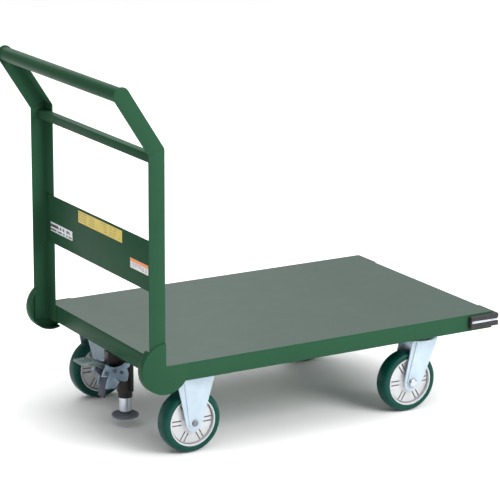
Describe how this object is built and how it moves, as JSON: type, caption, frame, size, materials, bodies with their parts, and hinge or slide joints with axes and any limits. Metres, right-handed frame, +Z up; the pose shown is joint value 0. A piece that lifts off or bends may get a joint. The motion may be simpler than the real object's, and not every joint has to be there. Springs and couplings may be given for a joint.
{
  "type": "platform trolley",
  "caption": "Steel platform trolley with a flat deck, angle-iron push handle, cast-core wheels on fixed and swivel forks, rubber corner bumpers and a foot-operated floor lock.",
  "frame": {"origin": "centre of the footprint box on the floor, under the wheels", "axes": "+X away from the push handle, +Y to the left when pushing, +Z up"},
  "size_m": [1.0364, 0.624, 0.8802],
  "materials": {
    "green_paint": "gloss green enamel over welded mild steel",
    "deck_paint": "green enamel, slightly duller deck sheet",
    "zinc": "bright zinc plate, pressed steel",
    "bolt_steel": "zinc plated fasteners",
    "dark_steel": "dark finished steel",
    "cast_core": "as cast aluminium",
    "urethane": "dark green cast urethane",
    "black_rubber": "black moulded rubber",
    "grey_rubber": "grey rubber foot",
    "black_cast": "black coated casting",
    "chrome_rod": "polished chrome",
    "label_white": "white sticker",
    "label_yellow": "yellow sticker"
  },
  "bodies": {
    "frame": {"axle_bolt_rear_left": "dark_steel", "axle_bolt_rear_right": "dark_steel", "bumper_left": "black_rubber", "bumper_right": "black_rubber", "bumper_screws": "bolt_steel", "bumper_strip_left": "bolt_steel", "bumper_strip_right": "bolt_steel", "caster_plate_front_left": "zinc", "caster_plate_front_right": "zinc", "caster_plate_rear_left": "zinc", "caster_plate_rear_right": "zinc", "corner_gusset_left": "green_paint", "corner_gusset_right": "green_paint", "cross_channel_1": "green_paint", "cross_channel_2": "green_paint", "cross_channel_3": "green_paint", "cross_channel_4": "green_paint", "cross_channel_5": "green_paint", "cross_rail": "green_paint", "deck_plate": "deck_paint", "end_rail_front": "green_paint", "end_rail_rear": "green_paint", "fork_rear_left": "zinc", "fork_rear_right": "zinc", "handle_arm_left": "green_paint", "handle_arm_right": "green_paint", "handle_bar": "green_paint", "handle_panel": "green_paint", "handle_post_left": "green_paint", "handle_post_right": "green_paint", "king_pin_left": "dark_steel", "king_pin_right": "dark_steel", "label_notice": "label_yellow", "label_plain": "label_white", "label_small": "label_white", "lock_base": "dark_steel", "lock_housing": "black_cast", "lock_pins": "bolt_steel", "lock_side_plates": "zinc", "mounting_bolts": "bolt_steel", "side_rail_left": "green_paint", "side_rail_right": "green_paint", "swivel_race_left": "dark_steel", "swivel_race_right": "dark_steel"},
    "wheel_rear_left": {"wheel_core_rear_left": "cast_core", "tyre_rear_left": "urethane"},
    "wheel_rear_right": {"wheel_core_rear_right": "cast_core", "tyre_rear_right": "urethane"},
    "wheel_front_left": {"wheel_core_front_left": "cast_core", "tyre_front_left": "urethane"},
    "wheel_front_right": {"wheel_core_front_right": "cast_core", "tyre_front_right": "urethane"},
    "swivel_left": {"fork_front_left": "zinc", "axle_bolt_front_left": "bolt_steel"},
    "swivel_right": {"fork_front_right": "zinc", "axle_bolt_front_right": "bolt_steel"},
    "lock_plunger": {"lock_rod": "chrome_rod", "lock_pad": "grey_rubber"},
    "lock_pedal_body": {"lock_pedal": "zinc"},
    "release_pedal_body": {"release_pedal": "dark_steel"}
  },
  "joints": [
    {"name": "swivel_left_turn", "type": "hinge", "parent": "frame", "child": "swivel_left", "pos_m": [0.3422, 0.229, 0.186], "axis": [0, 0, 1], "continuous": true},
    {"name": "wheel_front_left_spin", "type": "hinge", "parent": "swivel_left", "child": "wheel_front_left", "pos_m": [0.3042, 0.229, 0.075], "axis": [0, 1, 0], "continuous": true},
    {"name": "wheel_rear_left_spin", "type": "hinge", "parent": "frame", "child": "wheel_rear_left", "pos_m": [-0.2958, 0.229, 0.075], "axis": [0, 1, 0], "continuous": true},
    {"name": "swivel_right_turn", "type": "hinge", "parent": "frame", "child": "swivel_right", "pos_m": [0.3422, -0.229, 0.186], "axis": [0, 0, 1], "continuous": true},
    {"name": "wheel_front_right_spin", "type": "hinge", "parent": "swivel_right", "child": "wheel_front_right", "pos_m": [0.3042, -0.229, 0.075], "axis": [0, 1, 0], "continuous": true},
    {"name": "wheel_rear_right_spin", "type": "hinge", "parent": "frame", "child": "wheel_rear_right", "pos_m": [-0.2958, -0.229, 0.075], "axis": [0, 1, 0], "continuous": true},
    {"name": "lock_pedal_press", "type": "hinge", "parent": "frame", "child": "lock_pedal_body", "pos_m": [-0.3818, 0, 0.148], "axis": [0, 1, 0], "range_deg": [-30, 0]},
    {"name": "lock_rod_drop", "type": "slide", "parent": "frame", "child": "lock_plunger", "axis": [0, 0, -1], "range_m": [0, 0.0225]},
    {"name": "release_pedal_swing", "type": "hinge", "parent": "frame", "child": "release_pedal_body", "pos_m": [-0.4028, 0, 0.144], "axis": [0, 1, 0], "range_deg": [0, 25]}
  ],
  "couplings": [
    {"joint": "lock_rod_drop", "follows": "lock_pedal_press", "m_per_rad": -0.042972},
    {"joint": "release_pedal_swing", "follows": "lock_pedal_press", "ratio": -0.83333}
  ]
}
